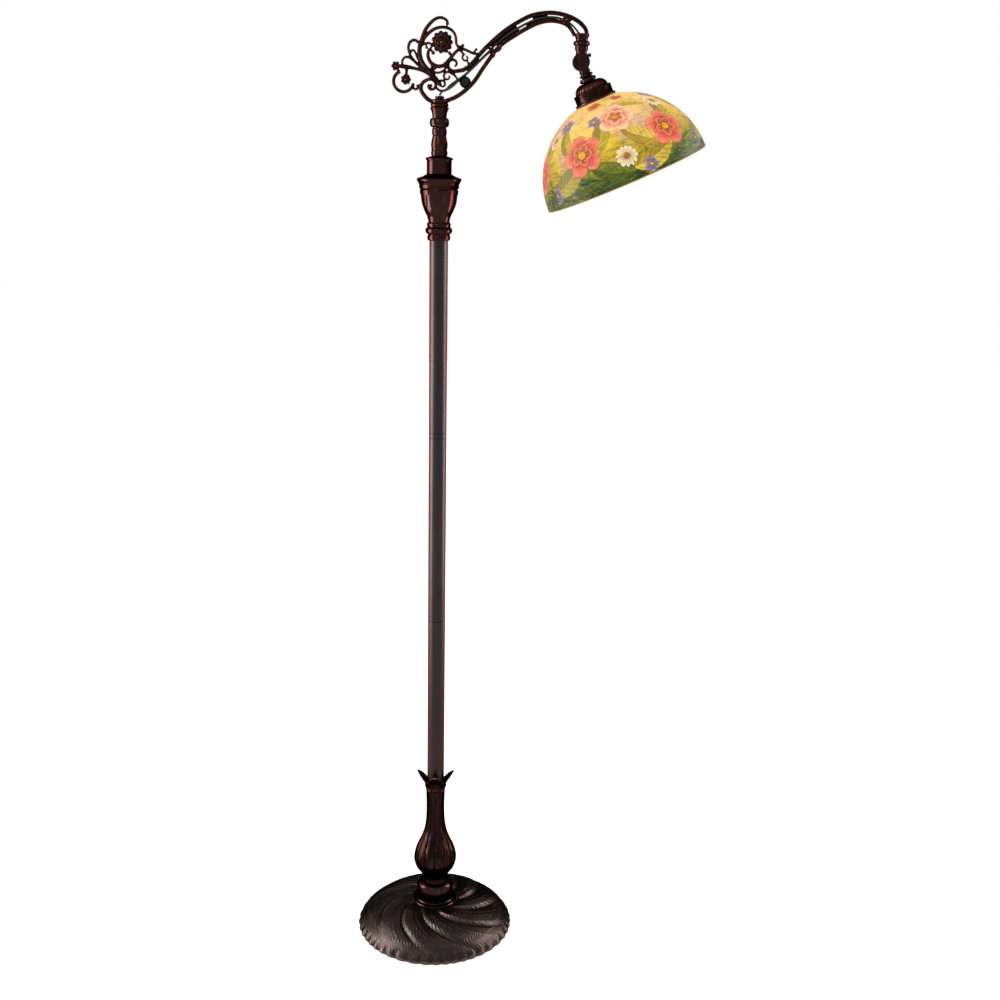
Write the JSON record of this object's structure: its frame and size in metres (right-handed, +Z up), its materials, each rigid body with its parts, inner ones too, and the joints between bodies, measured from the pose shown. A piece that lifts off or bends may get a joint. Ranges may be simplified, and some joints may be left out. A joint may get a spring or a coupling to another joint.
{
  "type": "bridge floor lamp",
  "caption": "Bridge floor lamp: round cast base, fluted baluster, tall pole, openwork scroll arm and a tilting glass dome shade.",
  "frame": {"origin": "centre of the flat underside of the base, on the pole's axis", "axes": "+Z up the pole, +X towards the shade at the end of the arm, -Y the front, on which the arm's flowers show"},
  "size_m": [0.5337, 0.2694, 1.5239],
  "materials": {
    "felt": "matte",
    "iron_weight": "rough cast",
    "bronze_casting": "dark bronze with rubbed red-brown edges",
    "pole_finish": "satin brown bronze",
    "steel": "plain",
    "rubber": "matte",
    "wire_cover": "matte",
    "switch_black": "gloss",
    "socket_brass": "satin",
    "ceramic": "glazed",
    "painted_glass": "frosted, painted inside with flowers",
    "bulb_white": "frosted white",
    "bulb_metal": "plain"
  },
  "bodies": {
    "stand": {"base_felt": "felt", "base_weight": "iron_weight", "base_shell": "bronze_casting", "base_washer": "steel", "base_nut": "steel", "cord_bushing": "rubber", "base_pipe": "steel", "base_ring": "bronze_casting", "base_collar": "bronze_casting", "baluster": "bronze_casting", "leaf_cup": "bronze_casting", "pole_foot": "steel", "lower_pole": "pole_finish", "lower_coupler": "pole_finish", "middle_pole": "pole_finish", "upper_coupler": "pole_finish", "upper_pole": "pole_finish", "head_collar": "bronze_casting", "neck_rings": "bronze_casting", "urn": "bronze_casting", "urn_cap": "bronze_casting", "cap_block": "bronze_casting", "spindle": "bronze_casting", "spool": "bronze_casting", "top_pipe": "steel", "arm_casting": "bronze_casting", "arm_locknut": "bronze_casting", "lamp_wire": "wire_cover", "switch_body": "switch_black", "switch_nut": "steel", "swivel_upper": "bronze_casting"},
    "shade_head": {"swivel_lower": "bronze_casting", "holder_neck": "bronze_casting", "shade_holder": "bronze_casting", "shade_gasket": "rubber", "socket_pipe": "steel", "clamp_plate": "steel", "clamp_nut": "steel", "socket_cap": "socket_brass", "socket_shell": "socket_brass", "socket_insulator": "ceramic", "screw_shell": "socket_brass", "shade": "painted_glass", "bulb_glass": "bulb_white", "bulb_cap": "bulb_metal"},
    "thumb_key": {"swivel_key": "bronze_casting"},
    "knob": {"switch_knob": "switch_black"}
  },
  "joints": [
    {"name": "shade_tilt", "type": "hinge", "parent": "stand", "child": "shade_head", "pos_m": [0.2095, 0, 1.4529], "axis": [0, -1, 0], "range_deg": [-36, 50]},
    {"name": "key_turn", "type": "hinge", "parent": "stand", "child": "thumb_key", "pos_m": [0.2095, 0, 1.4529], "axis": [0, -1, 0], "range_deg": [-60, 120]},
    {"name": "switch_turn", "type": "hinge", "parent": "stand", "child": "knob", "pos_m": [0.0378, 0.012, 1.4216], "axis": [0, -1, 0], "continuous": true}
  ]
}
